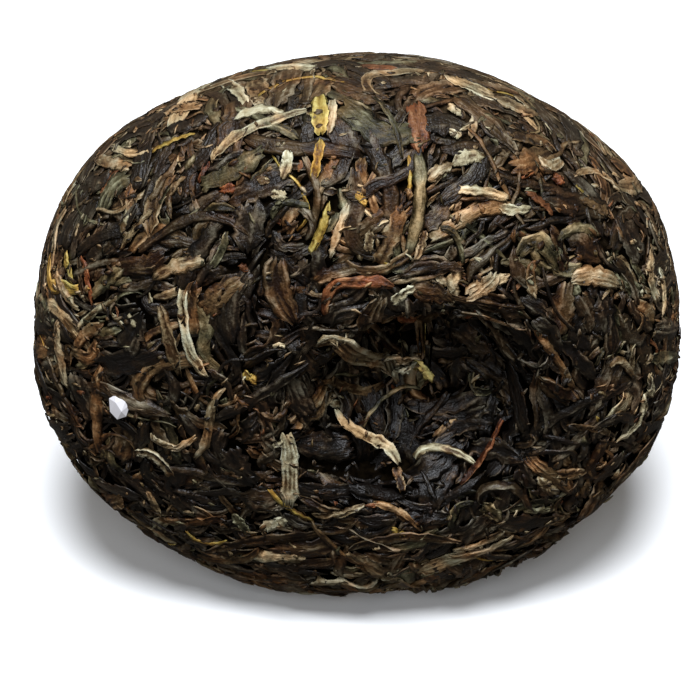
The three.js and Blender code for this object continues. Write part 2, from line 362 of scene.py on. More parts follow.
class Packing:
    """How high a leaf may still reach at each of many points of the surface, and which are covered."""

    def __init__(self):
        self.points = random_surface_points(SAMPLE_COUNT)
        self.ceiling = np.full(SAMPLE_COUNT, OPEN_CEILING)
        self.covered = np.zeros(SAMPLE_COUNT, bool)
        self.top = np.full(SAMPLE_COUNT, -DOME_LAYER)  # of the leaf that shows
        self.tree = KDTree(SAMPLE_COUNT)
        for i, p in enumerate(self.points):
            self.tree.insert(p, i)
        self.tree.balance()

    def settle(self, foot, wanted, thick, least_open):
        """The leaf's heights under what already lies there, or None where too little of it would show."""
        stations, places = foot.shape[:2]
        across = np.linspace(-1, 1, places)
        reach = np.where(np.abs(across) < 1, SAMPLE_REACH, EDGE_REACH)
        hits = [self.tree.find_range(p, r) for row in foot for p, r in zip(row, reach)]
        near = [[index for _, index, _ in hit] for hit in hits]
        sizes = [len(n) for n in near]
        flat = np.fromiter((i for n in near for i in n), int, sum(sizes))
        owner = np.repeat(np.arange(len(near)), sizes)
        inside = flat[np.abs(across)[owner % places] < 1]
        if not len(inside) or np.mean(~self.covered[inside]) < least_open:
            return None
        limit = np.full(len(near), OPEN_CEILING)
        np.minimum.at(limit, owner, self.ceiling[flat])
        firm = (0.5 - PRESSED_INTO) * thick * thickness_profile(across)
        limit = limit.reshape(stations, places) - firm
        height = np.minimum(wanted, limit)
        for _ in range(SMOOTHINGS):
            height = np.minimum(smooth(height), limit)
        height = np.maximum(height, deepest(foot))
        np.minimum.at(self.ceiling, flat, (height - firm).ravel()[owner])
        body = 0.5 * thick * thickness_profile(across)
        new = ~self.covered[flat]
        np.maximum.at(self.top, flat[new], (height + body).ravel()[owner[new]])
        self.covered[inside] = True
        return height

    def top_at(self, p):
        return self.top[[self.tree.find(q)[1] for q in p.reshape(-1, 3)]].reshape(p.shape[:-1])

    def open_points(self, count):
        left = np.flatnonzero(~self.covered)
        return self.points[rng.choice(left, min(count, len(left)), replace=False)]


# ---- Paths over the form ----
WINDING = 1.6  # how fast a leaf turns to and fro, as a share of how fast it turns
WINDING_RATE = 1.1  # in radians for each mm along it
WINDING_PHASES = 3  # their spread, in radians
TAPER = 5  # each end narrows over one part in this many of the leaf
TAPER_POWER = 1.5
UNEVEN_WIDTH = 0.13  # the spread of a leaf's width along it, as a share of it
RAGGED_REACH = 0.4  # how far out an end's places may stand, as a share of the width
RAGGED_RANGE = (-0.3, 0.7)  # and the parts of it that they take
FLOW_TURN = 0.45  # how far the slow waves below turn the leaves, in radians
FREE_ON_DOME = 0.30  # the share of leaves that lie any way round
FREE_WHERE_LOOSE = 0.35  # and how much larger it is in the hollow
HEADING_SPREAD = 0.4  # of the others, in radians


def grow_paths(middles, headings, lengths, bends, stations):
    """Paths over the surface from their middles out to both ends.

    bends gives each end's turn for each mm, and then how fast the path winds and the phase of that.
    """
    step = (lengths / (stations - 1))[:, None]
    path = [middles]
    for sign, bend in ((-1, bends[:, 0]), (1, bends[:, 1])):
        here, ahead = middles, headings * sign
        for i in range(stations // 2):
            normal = normal_at(here)
            ahead = unit(ahead - np.sum(ahead * normal, -1, keepdims=True) * normal)
            winding = bends[:, 2] * np.cos(i * step[:, 0] * WINDING_RATE + bends[:, 3])
            turn = (bend + winding)[:, None] * step
            ahead = ahead * np.cos(turn) + np.cross(normal, ahead) * np.sin(turn)
            here = on_surface(here + ahead * step, 2)
            path.insert(0, here) if sign < 0 else path.append(here)
    return np.stack(path, 1)


def feet_of(paths, widths, ends, across):
    """Where each leaf's places stand on the surface: by station, then across it."""
    count, stations = paths.shape[:2]
    normal = normal_at(paths)
    tangent = unit(np.gradient(paths, axis=1))
    side = unit(np.cross(normal, tangent))
    t = np.linspace(0, 1, stations)
    nearness = np.stack([np.clip(1 - t * TAPER, 0, 1), np.clip(1 - (1 - t) * TAPER, 0, 1)])  # to either end
    share = 1 - (1 - ends) @ nearness**TAPER_POWER
    belly = 1 + UNEVEN_WIDTH * rng.normal(0, 1, (count, stations))
    half = (widths[:, None] * share * belly / 2)[..., None]
    out = rng.uniform(*RAGGED_RANGE, (2, count, 1, len(across))) * widths[:, None, None] * RAGGED_REACH
    reach = nearness[1][:, None] * out[1] - nearness[0][:, None] * out[0]
    feet = paths[:, :, None] + side[:, :, None] * (across * half)[..., None]
    return on_surface(feet + tangent[:, :, None] * reach[..., None], 2)


def flow_angle(p):
    """How far the leaves of a region turn from running round the cake, in radians: neighbours lie alike."""
    x, y, z = p.T
    waves = np.sin(0.13 * x - 0.09 * z + 1.0) + np.sin(0.11 * z + 0.16 * y + 2.2)
    return FLOW_TURN * (waves + np.sin(0.19 * x + 0.12 * y))


def headings_at(points):
    normal = normal_at(points)
    radial = (points - MIDDLE) * (1, 0, 1)
    around = unit(np.cross(radial, (0, 1, 0)))
    free = rng.random(len(points)) < FREE_ON_DOME + FREE_WHERE_LOOSE * looseness(points)
    angle = flow_angle(points) + rng.normal(0, HEADING_SPREAD, len(points))
    angle = np.where(free, rng.uniform(-np.pi, np.pi, len(points)), angle)[:, None]
    return around * np.cos(angle) + np.cross(normal, around) * np.sin(angle)


# ---- Laying leaves ----
TILT = 0.8  # how far one end of a loose leaf is over the other: the spread
ROLL = 0.30  # how steeply it leans to a side: the spread
LEVEL_SHIFT = -0.1  # of the leaves' levels, as a share of their spread
LEVEL_SPREAD = 0.03  # of the levels where leaves are pressed
LOOSE_SPREAD = 0.45  # and how much larger it is in the hollow
MOST_RAISED = 0.5  # above the form, in the hollow
CRUMB_COUNT = 2600
CRUMB_RISE = 0.2  # of a crumb's middle over what it lies on, as a share of its thickness
# Leaves are laid in batches: their shape, how many are tried, how large they are as a share of it, and how
# much of each has to show.
BATCHES = (
    ("stem", 90, 1.0, 0.6), ("flake", 240, 1.0, 0.6), ("strand", 800, 1.1, 0.6),
    ("stem", 250, 1.0, 0.5), ("flake", 240, 0.9, 0.5), ("strand", 1000, 1.0, 0.5),
    ("strand", 1000, 0.9, 0.4), ("stem", 500, 0.8, 0.4), ("scrap", 900, 1.0, 0.4),
    ("strand", 1500, 0.8, 0.3), ("stem", 1500, 0.7, 0.3), ("scrap", 2000, 0.8, 0.3),
    ("scrap", 2500, 0.6, 0.25), ("stem", 2000, 0.5, 0.25),
)


def leaves_at(group, starts, size):
    """The feet, thicknesses, lengths and widths of leaves of a share of their shape's size."""
    shape = group.shape
    count = len(starts)
    lengths = rng.uniform(*shape["length"], count) * size
    widths = rng.uniform(*shape["width"], count) * (WIDTH_BY_SIZE[0] + WIDTH_BY_SIZE[1] * size)
    thick = rng.uniform(*shape["thick"], count) * (THICKNESS_BY_SIZE[0] + THICKNESS_BY_SIZE[1] * size)
    thick = thick * plumpness(looseness(starts))
    turn = shape["turn"]
    bends = rng.normal(0, 1, (count, 4)) * (turn, turn, WINDING * turn, WINDING_PHASES)
    paths = grow_paths(starts, headings_at(starts), lengths, bends, shape["stations"])
    feet = feet_of(paths, widths, rng.uniform(*shape["ends"], (count, 2)), group.across)
    return feet, thick, lengths, widths


def scatter(group, packing, tries, size, least_open):
    """Lays leaves, each starting from what is still open."""
    starts = packing.open_points(tries)
    count = len(starts)
    feet, thick, lengths, widths = leaves_at(group, starts, size)
    loose = looseness(starts)
    t = np.linspace(-0.5, 0.5, group.shape["stations"])
    tilt = (rng.normal(0, TILT, count) * loose)[:, None, None] * t[:, None]
    roll = (rng.normal(0, ROLL, count) * loose * widths / 2)[:, None, None] * group.across
    level = rng.normal(LEVEL_SHIFT, 1, count) * (LEVEL_SPREAD + LOOSE_SPREAD * loose) - 0.5 * thick
    wanted = np.minimum(level[:, None, None] + tilt + roll, MOST_RAISED * looseness(feet)) - slot_depth(feet)
    picks = kind_picks(starts)
    for i in range(count):
        height = packing.settle(feet[i], wanted[i], thick[i], least_open)
        if height is not None:
            group.leaves.append(Leaf(feet[i], height, picks[i], thick[i], lengths[i], widths[i]))


def sprinkle(group, packing, count):
    """Lays crumbs on top of the leaves."""
    starts = packing.points[rng.choice(SAMPLE_COUNT, count, replace=False)]
    feet, thick, lengths, widths = leaves_at(group, starts, 1.0)
    picks = kind_picks(starts, CRUMBS_PALER)
    for i in range(count):
        height = packing.top_at(feet[i]) + CRUMB_RISE * thick[i]
        group.leaves.append(Leaf(feet[i], height, picks[i], thick[i], lengths[i], widths[i]))


# ---- Landmark leaves: those that stand out in the photo, at their places ----
# Each has its kind, its width in mm, and two to four pixels of the photo that it passes through. Those named
# first lie over the others.
LANDMARKS = [
    # the upper left of the dome
    ("buff", 1.2, (213, 162), (228, 143), (262, 125), (306, 112)),
    ("buff", 1.5, (238, 119), (258, 110), (280, 113)),
    ("buff", 1.4, (288, 152), (287, 164), (282, 177)),
    ("golden", 1.9, (319, 96), (320, 114), (321, 133)),
    ("tan", 1.1, (332, 100), (332, 116), (329, 134)),
    ("golden", 1.1, (321, 140), (318, 158), (314, 178)),
    ("golden", 1.0, (329, 202), (322, 228), (310, 253)),
    ("golden", 0.6, (258, 95), (290, 80), (318, 77), (344, 83)),
    ("golden", 0.6, (152, 152), (172, 142), (194, 134)),
    ("buff", 2.2, (268, 68), (290, 66), (312, 68)),
    ("tan", 1.6, (166, 113), (182, 108), (200, 107)),
    ("black", 1.8, (168, 130), (186, 125), (206, 118)),
    ("tan", 1.6, (98, 160), (112, 163), (130, 168)),
    ("olive", 2.2, (204, 184), (234, 170), (262, 152)),
    ("dark", 1.2, (140, 251), (168, 230), (205, 216), (250, 236)),
    ("tan", 0.9, (186, 177), (171, 192), (172, 218)),
    ("tan", 0.8, (152, 210), (136, 228), (119, 251)),
    ("buff", 0.8, (128, 211), (124, 226), (127, 240)),
    ("rust", 1.2, (221, 189), (234, 187)),
    ("buff", 1.0, (259, 180), (268, 181)),
    ("buff", 1.2, (273, 194), (286, 196)),
    ("olive", 0.8, (272, 220), (282, 204), (308, 206)),
    ("black", 1.4, (276, 232), (284, 246), (304, 246)),
    ("dark", 1.0, (306, 240), (312, 222), (300, 208)),
    ("tan", 0.9, (348, 204), (338, 232), (330, 258)),
    ("olive", 0.9, (226, 233), (222, 250), (211, 268)),
    ("brown", 1.0, (150, 200), (166, 176), (186, 146)),
    ("olive", 0.8, (160, 204), (180, 176), (196, 156)),
    # the top and the upper right
    ("rust", 1.8, (364, 66), (380, 68), (396, 70)),
    ("rust", 2.6, (415, 104), (418, 126), (420, 148)),
    ("buff", 2.4, (452, 78), (470, 86), (492, 96)),
    ("tan", 2.2, (496, 98), (514, 106), (534, 116)),
    ("buff", 1.2, (450, 106), (460, 114)),
    ("buff", 1.0, (450, 132), (460, 138)),
    ("buff", 1.7, (455, 163), (468, 157), (483, 158)),
    ("tan", 1.6, (430, 178), (440, 170), (452, 166)),
    ("buff", 1.3, (461, 190), (482, 192), (507, 198)),
    ("buff", 1.2, (500, 207), (514, 210), (529, 209)),
    ("umber", 0.6, (468, 128), (488, 154), (498, 176), (511, 199)),
    ("olive", 0.7, (374, 97), (392, 122), (402, 158)),
    ("olive", 1.9, (418, 154), (420, 200), (410, 250)),
    ("golden", 0.6, (409, 156), (410, 176), (409, 196)),
    ("tan", 1.1, (370, 232), (368, 252)),
    ("golden", 0.9, (356, 192), (366, 204)),
    ("tan", 1.0, (424, 232), (421, 246), (416, 258)),
    ("umber", 1.2, (347, 263), (375, 270), (400, 260), (418, 244)),
    ("olive", 1.0, (442, 228), (456, 236), (462, 262)),
    ("rust", 0.9, (526, 192), (540, 202), (552, 214)),
    ("rust", 1.2, (554, 176), (562, 184)),
    ("umber", 1.8, (513, 137), (532, 140), (552, 147)),
    ("tan", 1.4, (540, 158), (550, 166), (562, 160)),
    ("tan", 0.9, (574, 176), (596, 172), (622, 192)),
    ("umber", 1.2, (582, 200), (596, 206), (608, 214)),
    ("olive", 1.3, (558, 240), (576, 228), (596, 236)),
    ("buff", 1.5, (652, 250), (650, 272), (656, 300)),
    ("buff", 0.9, (660, 268), (665, 290), (664, 316)),
    ("umber", 1.3, (640, 202), (650, 216), (658, 236)),
    ("tan", 2.4, (570, 280), (592, 276), (617, 284)),
    ("tan", 2.2, (468, 295), (482, 287), (494, 276)),
    ("buff", 1.3, (488, 284), (508, 276)),
    ("buff", 1.4, (393, 303), (402, 294), (414, 287)),
    ("brown", 2.6, (414, 292), (432, 292), (450, 300)),
    ("dark", 1.6, (400, 275), (430, 266), (462, 268)),
    ("umber", 1.3, (534, 262), (530, 278), (536, 296)),
    ("black", 3.0, (600, 296), (604, 312), (604, 332)),
    # the left of the face
    ("tan", 1.5, (56, 274), (62, 290), (76, 308)),
    ("golden", 1.2, (66, 252), (68, 266), (72, 282)),
    ("rust", 0.9, (82, 256), (88, 280), (92, 304)),
    ("olive", 1.6, (92, 296), (106, 282), (122, 268)),
    ("tan", 1.8, (155, 277), (176, 267), (201, 260)),
    ("buff", 1.4, (184, 290), (184, 320), (192, 352), (207, 376)),
    ("umber", 2.0, (196, 286), (190, 304), (194, 330)),
    ("tan", 1.5, (161, 306), (168, 335), (180, 374)),
    ("umber", 2.8, (208, 312), (218, 296), (238, 282)),
    ("rust", 1.2, (240, 266), (247, 268)),
    ("black", 2.6, (246, 274), (230, 302), (231, 342)),
    ("tan", 1.1, (224, 390), (211, 410), (207, 436), (195, 458)),
    ("dark", 1.0, (208, 371), (224, 380), (232, 400)),
    ("black", 1.6, (214, 420), (256, 398), (308, 366)),
    ("golden", 0.9, (245, 372), (256, 381)),
    ("umber", 1.5, (57, 322), (59, 350), (66, 386)),
    ("umber", 1.4, (76, 348), (86, 334), (102, 324)),
    ("brown", 1.2, (48, 358), (60, 390), (82, 428)),
    ("umber", 1.7, (101, 368), (96, 402), (98, 452)),
    ("buff", 0.8, (112, 314), (124, 328)),
    ("buff", 0.8, (128, 315), (135, 326)),
    ("tan", 1.3, (136, 452), (156, 456), (172, 476)),
    ("tan", 1.0, (153, 434), (172, 446), (196, 436)),
    ("tan", 1.0, (148, 492), (154, 504), (160, 517)),
    ("umber", 1.6, (159, 519), (190, 521), (226, 517)),
    ("golden", 0.8, (186, 531), (204, 543), (226, 540)),
    ("buff", 1.7, (261, 529), (284, 520)),
    ("olive", 1.5, (235, 516), (248, 532)),
    # the hollow and what lies under it
    ("buff", 0.7, (433, 437), (444, 427), (456, 420)),
    ("rust", 0.9, (502, 420), (484, 455), (461, 484)),
    ("olive", 0.9, (471, 374), (476, 390), (493, 390)),
    ("buff", 2.4, (286, 436), (290, 468), (288, 506)),
    ("golden", 0.8, (270, 490), (288, 508), (312, 520)),
    ("umber", 0.9, (308, 518), (332, 546), (362, 566)),
    ("tan", 1.1, (313, 514), (338, 514), (363, 505)),
    ("brown", 1.8, (205, 552), (258, 540), (315, 535)),
    ("umber", 1.2, (198, 556), (236, 560), (258, 549)),
    ("olive", 1.2, (473, 502), (455, 510), (452, 530)),
    ("olive", 1.8, (484, 504), (500, 520)),
    ("tan", 1.2, (450, 556), (482, 552), (512, 536)),
    ("tan", 0.9, (454, 550), (480, 544), (504, 532)),
    ("brown", 1.6, (350, 548), (402, 536), (460, 541)),
    ("tan", 1.3, (372, 503), (396, 510), (420, 529)),
    ("golden", 0.9, (392, 529), (410, 537)),
    ("umber", 1.1, (396, 468), (402, 491)),
    ("umber", 1.1, (536, 332), (554, 356), (574, 389)),
    ("umber", 1.2, (612, 366), (622, 362), (634, 378)),
    ("buff", 1.2, (644, 396), (640, 420), (618, 441)),
    ("buff", 1.2, (650, 374), (652, 396)),
    ("olive", 1.6, (654, 358), (678, 357)),
    ("black", 1.7, (524, 439), (572, 410), (632, 385)),
    ("brown", 1.2, (568, 427), (590, 428), (614, 436)),
    ("tan", 1.4, (540, 480), (556, 494)),
    ("umber", 1.6, (558, 474), (584, 472)),
    ("olive", 1.1, (526, 512), (554, 510)),
]
# Those that stand clear of the hollow's wall, with how far in mm before their pixels.
RAISED_LANDMARKS = [
    (5.2, "golden", 1.8, (414, 362), (424, 370), (431, 382)),
    (5.0, "buff", 2.0, (394, 377), (406, 371), (422, 372)),
    (4.8, "tan", 2.6, (388, 362), (402, 358), (420, 360)),
    (2.6, "tan", 2.8, (392, 366), (360, 356), (326, 360)),
    (2.5, "olive", 0.8, (418, 387), (386, 396), (362, 426)),
    (2.0, "buff", 1.4, (334, 410), (362, 434), (382, 444), (398, 462)),
    (1.5, "buff", 1.1, (415, 458), (428, 448), (450, 450), (474, 463)),
]
LANDMARK_PALER = 1.2  # how much paler those of the pale kinds are
LIFT_PAINTED_LIGHT = 0.4  # and how much more for each mm that they stand clear: painted light, since they stand in the hollow's shade
RISEN = 0.12  # the share of a raised leaf over which it rises
BEHIND_FACE = 1.5  # how far behind the face's plane raised leaves stay
LANDMARK_LEVELS = (-0.6, -0.1)  # of their middles over the form, as a share of their thickness
LANDMARK_SHAPES = ((0.85, "stem"), (2.1, "strand"), (9, "flake"))  # up to these widths


def lay_landmarks(groups, packing):
    for lift, kind, width, *pixels in RAISED_LANDMARKS + [(0.0, *landmark) for landmark in LANDMARKS]:
        group = groups[next(name for most, name in LANDMARK_SHAPES if width <= most)]
        pixels = np.array(pixels, float)
        t = np.linspace(0, len(pixels) - 1, group.shape["stations"])
        curve = np.polyfit(range(len(pixels)), pixels, len(pixels) - 1)[::-1]
        rise = np.minimum(t / t[-1] / RISEN, 1) * lift  # from the wall at its first end
        path = under_pixels(sum(c * t[:, None] ** n for n, c in enumerate(curve)), rise)
        length = np.linalg.norm(np.diff(path, axis=0), axis=-1).sum()
        ends = rng.uniform(*group.shape["ends"], (1, 2))
        foot = feet_of(path[None], np.array([width]), ends, group.across)[0]
        thick = rng.uniform(*group.shape["thick"]) * plumpness(looseness(path[len(path) // 2]))
        room = np.maximum(foot[..., 1] - FACE_Y - BEHIND_FACE, 0)
        wanted = np.minimum(rise[:, None], room) + rng.uniform(*LANDMARK_LEVELS) * thick
        height = packing.settle(foot, wanted, thick, 0)
        # raised landmark leaves are painted lighter by their lift: painted light, as they stand in the
        # hollow's shade
        paler = LANDMARK_PALER * (kind in PALE_KINDS) + LIFT_PAINTED_LIGHT * lift
        group.leaves.append(Leaf(foot, height, kind, thick, length, width, paler))


# ---- Meshes ----
# Lengthwise folds: heights are shares of a leaf's depth of folds, and shifts are counted in places across it.
FOLD_HEIGHTS = (0.2, 1.3)
FOLD_SPREAD = 0.35
FOLD_SLANT = 1.3
FOLD_WINDING = 0.5
FOLD_WINDING_TURN = 7  # radians along a leaf
FOLD_CRUMPLE = 0.25
SPARE_FOLDS = 6
FIRST_FOLD = 2.5  # the one that a straight leaf starts with
# Curl lifts a leaf's edges over its middle, in the same shares.
CURL_MEAN = 0.35
CURL_SPREAD = 0.9
CURL_WAVE = 0.5
CURL_WAVE_TURN = 5  # radians along a leaf
CURL_PHASES = 6
CURL_LEVEL = 0.4  # the part of it that lowers the middle
TIP_THICKNESS = 0.45  # as a share of a leaf's own
FOLD_BELOW = 0.6  # how much of a fold shows on the underside
LEAST_BODY = 0.08
CLOTH_HEIGHT = 0.06  # over the form, where the cloth pressed the leaves
CLOTH_OFF = 9.0  # and how much higher where they are loose
PAST_CLOTH = 0.15  # how much stays of what would stand past the cloth
PATTERN_ROOM = 500  # each leaf reads its own part of the patterns, within this


def flatten_on_floor(p):
    """Squeezes what would be below the floor into a thin layer on it."""
    softness = 0.6
    p[..., 2] = (p[..., 2] + np.sqrt(p[..., 2] ** 2 + softness**2)) / 2
    return p


def crease_rows(count, stations, places):
    """Lengthwise folds, about -1 to 1: high and low by turns across a leaf, and winding along it."""
    knots = places + SPARE_FOLDS
    sign = rng.choice((-1.0, 1.0), (count, 1)) * (-1.0) ** np.arange(knots)
    pattern = sign * rng.uniform(*FOLD_HEIGHTS, (count, knots)) + rng.normal(0, FOLD_SPREAD, (count, knots))
    t = np.linspace(0, 1, stations)
    slant = rng.normal(0, FOLD_SLANT, (count, 1)) * (t - 0.5)
    winding = rng.normal(0, FOLD_WINDING, (count, 1)) * np.sin(t * FOLD_WINDING_TURN)
    place = np.arange(places) + FIRST_FOLD + (slant + winding)[..., None]
    place = np.clip(place, 0, knots - 1.001)  # just short of the last knot
    low = place.astype(int)
    leaf = np.arange(count)[:, None, None]
    crease = pattern[leaf, low] * (low + 1 - place) + pattern[leaf, low + 1] * (place - low)
    return crease + rng.normal(0, FOLD_CRUMPLE, crease.shape)


def round_rings(top, bottom=None):
    """Values round each ring: across a leaf's top, then back across its bottom between the edges."""
    bottom = top if bottom is None else bottom
    return np.concatenate([top, bottom[:, :, -2:0:-1]], 2)


def leaf_vertices(group, leaves):
    """The vertices of leaves by station and round each ring, and what their material reads."""
    feet = np.stack([leaf.foot for leaf in leaves])
    heights = np.stack([leaf.height for leaf in leaves])
    measures = np.array([(leaf.thick, leaf.length, leaf.width, leaf.paler) for leaf in leaves])
    thick, lengths, widths, paler = measures.T[..., None, None]
    count, stations, places = feet.shape[:3]
    normal = normal_at(feet)
    t = np.linspace(0, 1, stations)[:, None]
    end_thinning = TIP_THICKNESS + (1 - TIP_THICKNESS) * np.sqrt(1 - np.abs(2 * t - 1) ** 3)
    body = thick * end_thinning * thickness_profile(group.across)
    crease = crease_rows(count, stations, places)
    curl = rng.normal(CURL_MEAN, CURL_SPREAD, (count, 1, 1))
    curl = curl + CURL_WAVE * np.sin(t * CURL_WAVE_TURN + rng.uniform(0, CURL_PHASES, (count, 1, 1)))
    crease = crease + curl * (group.across**2 - CURL_LEVEL)
    depth = rng.uniform(*group.shape["fold"], (count, 1, 1)) * plumpness(looseness(feet))
    top = heights + 0.5 * body + depth * crease * end_thinning
    cloth = CLOTH_HEIGHT + CLOTH_OFF * looseness(feet)
    top = np.minimum(top, cloth + PAST_CLOTH * (top - cloth))
    bottom = heights - 0.5 * body + FOLD_BELOW * depth * crease * end_thinning
    rise = round_rings(top, np.minimum(bottom, top - LEAST_BODY))
    stand = round_rings(feet)
    vertices = stand + round_rings(normal) * rise[..., None]

    across = round_rings(np.broadcast_to(group.across * widths / 2, top.shape))
    along = np.broadcast_to(t * lengths, rise.shape)
    # the folds' heights, which the material also paints as shade in the grooves and highlight on the crests
    ridge = round_rings(crease)
    # tone: each leaf's own tone, the landmarks' paleness with painted light on raised ones, and the patches'
    # painted shade and tone
    tone = rng.normal(0, 1, (count, 1, 1)) + paler - PATCH_SHADE_AND_TONE * painted_shade_and_tone(stand)
    pressed = 1 - looseness(stand)
    uv = np.stack([across, along], -1) + rng.uniform(0, PATTERN_ROOM, (count, 1, 1, 2))
    return flatten_on_floor(vertices), uv * MM, {"ridge": ridge, "tone": tone, "pressed": pressed}


def ring_faces(count, stations, places, first):
    """Quads round closed strands and over their ends, both faces split alike; first is the first vertex."""
    sides = 2 * places - 2
    ring = np.arange(sides)
    ahead = (ring + 1) % sides
    quad = np.stack([ring, ring + sides, ahead + sides, ahead], 1)
    quads = (quad[None] + (np.arange(stations - 1) * sides)[:, None, None]).reshape(-1, 4)
    under = [0, *range(sides - 1, places - 1, -1), places - 1]  # the ring point below each place across
    cap = [[k, k + 1, under[k + 1], under[k]] for k in range(places - 1)]
    cap = [list(dict.fromkeys(face)) for face in cap]
    last = (stations - 1) * sides
    faces = []
    for leaf in range(count):
        start = first + leaf * stations * sides
        faces += (quads + start).tolist()
        faces += [[start + k for k in face] for face in cap]
        faces += [[start + last + k for k in reversed(face)] for face in cap]
    return faces


def make_mesh(name, vertices, faces, values=None, uv=None):
    mesh = bpy.data.meshes.new(name)
    mesh.from_pydata((vertices.reshape(-1, 3) * MM).tolist(), [], faces, shade_flat=False)
    for key, data in (values or {}).items():
        stored = mesh.attributes.new(key, "FLOAT", "POINT")
        stored.data.foreach_set("value", np.ascontiguousarray(data, np.float32).ravel())
    if uv is not None:
        layer = mesh.uv_layers.new(name="fibre")
        corner = np.zeros(len(mesh.loops), np.int32)
        mesh.loops.foreach_get("vertex_index", corner)
        layer.data.foreach_set("uv", np.ascontiguousarray(uv.reshape(-1, 2)[corner], np.float32).ravel())
    return new_object(name, mesh)


# ---- Materials: lengths are in metres here ----
# Noises, on a leaf's own fibres (across it, then along it) or on the place: how many to a metre on each axis.
NOISES = {
    "wrinkle": dict(on="fibre", scale=(1300, 300, 1), detail=2.0, rough=0.55),
    "fine": dict(on="fibre", scale=(5200, 1700, 1), detail=2.0, rough=0.6),
    "patch": dict(on="place", scale=(380, 380, 380), detail=3.0, rough=0.6),
    "speck": dict(on="place", scale=(3000, 3000, 3000), detail=2.0, rough=0.7),
    "stain": dict(on="place", scale=(230, 230, 230), detail=2.0, rough=0.6),
    # painted highlights: the noise for small bright glints, put into the colour
    "painted_glint": dict(on="place", scale=(4500, 4500, 4500), detail=1.0, rough=0.6),
}
# These noises only show where they are strong: how steeply they come in, and what is taken off.
# The glint noise paints small bright highlight dots into the colour.
PAINTED_GLINTS = (7.0, -4.3)
STAINS = (5.0, -2.2)

# A spot's level says where it is from its leaf's grooves over its body to its ridges, painting shade into the
# grooves and a highlight, with some wear, onto the ridges: a plain spot's, what each thing adds to it, and
# what each noise does, which counts from its middle.
PLAIN_LEVEL = 0.36
LEVEL_ADDS = {"tone": 0.07, "ridge": 0.26, "painted_glint": 0.16, "weave": 0.012}
LEVEL_NOISES = {"wrinkle": 0.9, "fine": 0.25, "patch": 1.4, "speck": 0.45}
NOISE_MIDDLE = 0.5
LEVEL_STOPS = (0.16, 0.46, 0.94)  # of grooves, body and ridges: painted shade, body, and painted highlight with wear
EVENED = 0.36  # pulls the dome's levels towards one: softens the painted highlight and shade of its folds, and pales it
EVENED_TO = 0.58

COOL_TINT = (0.92, 0.98, 0.91, 1)
WARM_TINT = (1.24, 0.96, 0.70, 1)  # of the stains
DUST = (0.085, 0.063, 0.041, 1)  # of broken leaves, that the cloth rubbed into the pressed side
MOST_DUST = 0.16  # its share where the leaves are fully pressed; there is none below half
LEAF_ROUGHNESS = 0.40
SPECK_ROUGHNESS = 0.4  # what the specks add to it
GLOSS_SMOOTHS = 0.5  # and what gloss takes away
RELIEF_ADDS = {"fine": 0.25, "speck": 0.22, "weave": 0.02}  # to the wrinkles
RELIEF_DEPTH = 0.00045

THREAD_PITCH = 0.00045  # of the cloth bag
THREAD_DIRECTIONS = ((1.0, 0.2, 0.0), (-0.2, 0.7, 0.7))
THREAD_WANDER = 0.0012

# The dust between the leaves: its darker and paler colour in the hollow, near black there as painted shade in
# the gaps and the slot, and where the cloth pressed it.
CORE_LOOSE = ((0.001, 0.0007, 0.0004), (0.009, 0.006, 0.003))
CORE_PRESSED = ((0.018, 0.011, 0.005), (0.12, 0.085, 0.05))
CORE_STOPS = (0.35, 1.0)  # of the darker and the paler one
CORE_GRAIN = 900.0
CORE_DETAIL = 4.0
CORE_RELIEF = 0.0006
CORE_ROUGHNESS = 0.9


def principled(name, gloss=0.2, roughness=0.5):
    material = bpy.data.materials.new(name)
    material.use_nodes = True
    shader = material.node_tree.nodes["Principled BSDF"]
    shader.inputs["Roughness"].default_value = roughness
    shader.inputs["Specular IOR Level"].default_value = gloss
    return material, material.node_tree, shader


def add_node(tree, kind, inputs=(), **settings):
    node = tree.nodes.new("ShaderNode" + kind)
    for key, value in settings.items():
        setattr(node, key, value)
    for key, value in dict(inputs).items():
        if isinstance(value, bpy.types.NodeSocket):
            tree.links.new(value, node.inputs[key])
        else:
            node.inputs[key].default_value = value
    return node


def maths(tree, operation, *values, clamp=False):
    node = add_node(tree, "Math", dict(enumerate(values)), operation=operation, use_clamp=clamp)
    return node.outputs[0]


def attribute(tree, name):
    return add_node(tree, "Attribute", attribute_name=name).outputs["Fac"]


def noise(tree, vector, scale, detail, rough):
    scaled = add_node(tree, "VectorMath", {0: vector, 1: scale}, operation="MULTIPLY").outputs[0]
    inputs = {"Vector": scaled, "Scale": 1.0, "Detail": detail, "Roughness": rough}
    return add_node(tree, "TexNoise", inputs).outputs["Fac"]


def colour_ramp(tree, level, stops, colours):
    ramp = add_node(tree, "ValToRGB", {"Fac": level})
    elements = ramp.color_ramp.elements
    elements[0].position = stops[0]
    elements[1].position = stops[-1]
    for stop in stops[1:-1]:
        elements.new(stop)
    for element, colour in zip(elements, colours):
        element.color = (*colour, 1)
    return ramp.outputs[0]


def mixed(tree, share, first, second, blend="MIX"):
    inputs = {"Factor": share, "A": first, "B": second}
    return add_node(tree, "Mix", inputs, data_type="RGBA", blend_type=blend).outputs["Result"]


def cloth_weave(tree, place, patch):
    """The cloth bag's two sets of threads, which wander a little, as waves."""
    waves = []
    for direction in THREAD_DIRECTIONS:
        along = add_node(tree, "VectorMath", {0: place, 1: direction}, operation="DOT_PRODUCT")
        along = maths(tree, "MULTIPLY_ADD", patch, THREAD_WANDER, along.outputs["Value"])
        waves.append(maths(tree, "SINE", maths(tree, "MULTIPLY", along, 2 * math.pi / THREAD_PITCH)))
    return maths(tree, "ADD", *waves)


